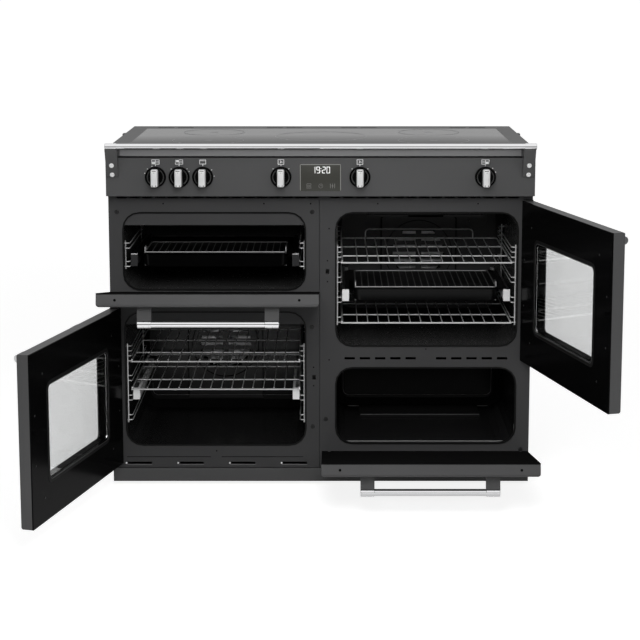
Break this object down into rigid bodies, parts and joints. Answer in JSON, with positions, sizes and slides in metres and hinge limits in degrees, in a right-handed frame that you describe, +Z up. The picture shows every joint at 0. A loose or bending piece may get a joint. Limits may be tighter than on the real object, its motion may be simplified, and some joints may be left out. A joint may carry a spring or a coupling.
{
  "type": "range cooker",
  "caption": "Free-standing range cooker with an induction hob, control fascia, drop-down and side-hinged oven doors, sliding shelves and grill pans.",
  "frame": {"origin": "middle of the base tray's underside, half way between the fascia's face and the back panel", "axes": "+X to the right as seen from the front, +Y to the back, +Z up"},
  "size_m": [1.4434, 1.1081, 0.9185],
  "materials": {
    "anthracite_paint": "satin anthracite",
    "cabinet_steel": "satin black",
    "black_enamel": "gloss vitreous enamel",
    "polished_chrome": "polished",
    "knob_chrome": "polished, on a black skirt",
    "zinc_steel": "bright zinc",
    "fan_aluminium": "rolled",
    "seal_rubber": "matt black silicone",
    "hob_ceramic": "black ceramic glass",
    "window_glass": "tinted glass",
    "display_gloss": "smoked gloss",
    "black_plastic": "moulded"
  },
  "bodies": {
    "cabinet": {"base_tray": "cabinet_steel", "cabinet_panels": "cabinet_steel", "control_panel": "anthracite_paint", "display_module": "display_gloss", "door_fittings": "zinc_steel", "door_seals": "seal_rubber", "fan_covers": "black_enamel", "fan_motors": "zinc_steel", "front_frame_left": "anthracite_paint", "front_frame_right": "anthracite_paint", "heating_elements": "zinc_steel", "hob_glass": "hob_ceramic", "hob_surround": "anthracite_paint", "induction_unit": "fan_aluminium", "levelling_feet": "black_plastic", "liner_fan_oven": "black_enamel", "liner_grill_oven": "black_enamel", "liner_slow_oven": "black_enamel", "liner_tall_oven": "black_enamel", "oven_lamp": "window_glass", "plinth": "anthracite_paint", "rail_brackets": "anthracite_paint", "runner_fixed_members": "zinc_steel", "side_racks": "polished_chrome", "terminal_box": "black_plastic", "towel_rail": "polished_chrome"},
    "fan_oven_fan": {"fan_wheel_fan_oven": "fan_aluminium"},
    "tall_oven_fan": {"fan_wheel_tall_oven": "fan_aluminium"},
    "grill_oven_runner_middles": {"runner_middle_grill_oven": "zinc_steel"},
    "fan_oven_runner_middles": {"runner_middle_fan_oven": "zinc_steel"},
    "tall_oven_runner_middles": {"runner_middle_tall_oven": "zinc_steel"},
    "grill_oven_pan": {"runner_slide_grill_oven": "zinc_steel", "grill_pan_grill_oven": "black_enamel"},
    "tall_oven_pan": {"runner_slide_tall_oven": "zinc_steel", "grill_pan_tall_oven": "black_enamel"},
    "fan_oven_lower_shelf": {"runner_slide_fan_oven": "zinc_steel", "shelf_fan_oven_lower": "polished_chrome"},
    "fan_oven_upper_shelf": {"shelf_fan_oven_upper": "polished_chrome"},
    "tall_oven_upper_shelf": {"shelf_tall_oven_upper": "polished_chrome"},
    "tall_oven_lower_shelf": {"shelf_tall_oven_lower": "polished_chrome"},
    "fan_oven_door": {"door_fan_oven_handle": "polished_chrome", "door_fan_oven_inner": "black_enamel", "door_fan_oven_outer": "anthracite_paint", "door_fan_oven_panes": "window_glass"},
    "tall_oven_door": {"door_tall_oven_handle": "polished_chrome", "door_tall_oven_inner": "black_enamel", "door_tall_oven_outer": "anthracite_paint", "door_tall_oven_panes": "window_glass"},
    "grill_oven_door": {"door_grill_oven_handle": "polished_chrome", "door_grill_oven_inner": "black_enamel", "door_grill_oven_outer": "anthracite_paint"},
    "slow_oven_door": {"door_slow_oven_handle": "polished_chrome", "door_slow_oven_inner": "black_enamel", "door_slow_oven_outer": "anthracite_paint"},
    "knob_fan_oven": {"knob_fan_oven": "knob_chrome"},
    "knob_fan_oven_mode": {"knob_fan_oven_mode": "knob_chrome"},
    "knob_grill": {"knob_grill": "knob_chrome"},
    "knob_grill_oven": {"knob_grill_oven": "knob_chrome"},
    "knob_slow_oven": {"knob_slow_oven": "knob_chrome"},
    "knob_tall_oven_mode": {"knob_tall_oven_mode": "knob_chrome"}
  },
  "joints": [
    {"name": "fan_oven_door_swing", "type": "hinge", "parent": "cabinet", "child": "fan_oven_door", "pos_m": [-0.538, -0.28, 0.2625], "axis": [0, 0, 1], "range_deg": [0, 105.2]},
    {"name": "tall_oven_door_swing", "type": "hinge", "parent": "cabinet", "child": "tall_oven_door", "pos_m": [0.538, -0.28, 0.543], "axis": [0, 0, -1], "range_deg": [0, 105.2]},
    {"name": "grill_oven_door_drop", "type": "hinge", "parent": "cabinet", "child": "grill_oven_door", "pos_m": [-0.27437, -0.292, 0.49], "axis": [-1, 0, 0], "range_deg": [0, 79.5]},
    {"name": "slow_oven_door_drop", "type": "hinge", "parent": "cabinet", "child": "slow_oven_door", "pos_m": [0.27437, -0.292, 0.062], "axis": [-1, 0, 0], "range_deg": [0, 79.5]},
    {"name": "knob_grill_oven_turn", "type": "hinge", "parent": "cabinet", "child": "knob_grill_oven", "pos_m": [-0.422, -0.3, 0.819], "axis": [0, 1, 0], "range_deg": [0, 270]},
    {"name": "knob_fan_oven_turn", "type": "hinge", "parent": "cabinet", "child": "knob_fan_oven", "pos_m": [-0.3615, -0.3, 0.819], "axis": [0, 1, 0], "range_deg": [0, 270]},
    {"name": "knob_grill_turn", "type": "hinge", "parent": "cabinet", "child": "knob_grill", "pos_m": [-0.301, -0.3, 0.819], "axis": [0, 1, 0], "range_deg": [0, 270]},
    {"name": "knob_fan_oven_mode_turn", "type": "hinge", "parent": "cabinet", "child": "knob_fan_oven_mode", "pos_m": [-0.101, -0.3, 0.819], "axis": [0, 1, 0], "continuous": true},
    {"name": "knob_tall_oven_mode_turn", "type": "hinge", "parent": "cabinet", "child": "knob_tall_oven_mode", "pos_m": [0.101, -0.3, 0.819], "axis": [0, 1, 0], "continuous": true},
    {"name": "knob_slow_oven_turn", "type": "hinge", "parent": "cabinet", "child": "knob_slow_oven", "pos_m": [0.422, -0.3, 0.819], "axis": [0, 1, 0], "range_deg": [0, 270]},
    {"name": "fan_oven_fan_spin", "type": "hinge", "parent": "cabinet", "child": "fan_oven_fan", "pos_m": [-0.27625, 0.16, 0.28], "axis": [0, 1, 0], "continuous": true},
    {"name": "tall_oven_fan_spin", "type": "hinge", "parent": "cabinet", "child": "tall_oven_fan", "pos_m": [0.27625, 0.16, 0.545], "axis": [0, 1, 0], "continuous": true},
    {"name": "grill_oven_pan_slide", "type": "slide", "parent": "cabinet", "child": "grill_oven_pan", "axis": [0, 1, 0], "range_m": [-0.25, 0]},
    {"name": "tall_oven_pan_slide", "type": "slide", "parent": "cabinet", "child": "tall_oven_pan", "axis": [0, 1, 0], "range_m": [-0.25, 0]},
    {"name": "fan_oven_lower_shelf_slide", "type": "slide", "parent": "cabinet", "child": "fan_oven_lower_shelf", "axis": [0, 1, 0], "range_m": [-0.25, 0]},
    {"name": "fan_oven_upper_shelf_slide", "type": "slide", "parent": "cabinet", "child": "fan_oven_upper_shelf", "axis": [0, 1, 0], "range_m": [-0.25, 0]},
    {"name": "tall_oven_upper_shelf_slide", "type": "slide", "parent": "cabinet", "child": "tall_oven_upper_shelf", "axis": [0, 1, 0], "range_m": [-0.25, 0]},
    {"name": "tall_oven_lower_shelf_slide", "type": "slide", "parent": "cabinet", "child": "tall_oven_lower_shelf", "axis": [0, 1, 0], "range_m": [-0.25, 0]},
    {"name": "grill_oven_runner_middles_slide", "type": "slide", "parent": "cabinet", "child": "grill_oven_runner_middles", "axis": [0, 1, 0], "range_m": [-0.125, 0]},
    {"name": "fan_oven_runner_middles_slide", "type": "slide", "parent": "cabinet", "child": "fan_oven_runner_middles", "axis": [0, 1, 0], "range_m": [-0.125, 0]},
    {"name": "tall_oven_runner_middles_slide", "type": "slide", "parent": "cabinet", "child": "tall_oven_runner_middles", "axis": [0, 1, 0], "range_m": [-0.125, 0]}
  ],
  "couplings": [
    {"joint": "grill_oven_runner_middles_slide", "follows": "grill_oven_pan_slide", "ratio": 0.5},
    {"joint": "fan_oven_runner_middles_slide", "follows": "fan_oven_lower_shelf_slide", "ratio": 0.5},
    {"joint": "tall_oven_runner_middles_slide", "follows": "tall_oven_pan_slide", "ratio": 0.5}
  ]
}
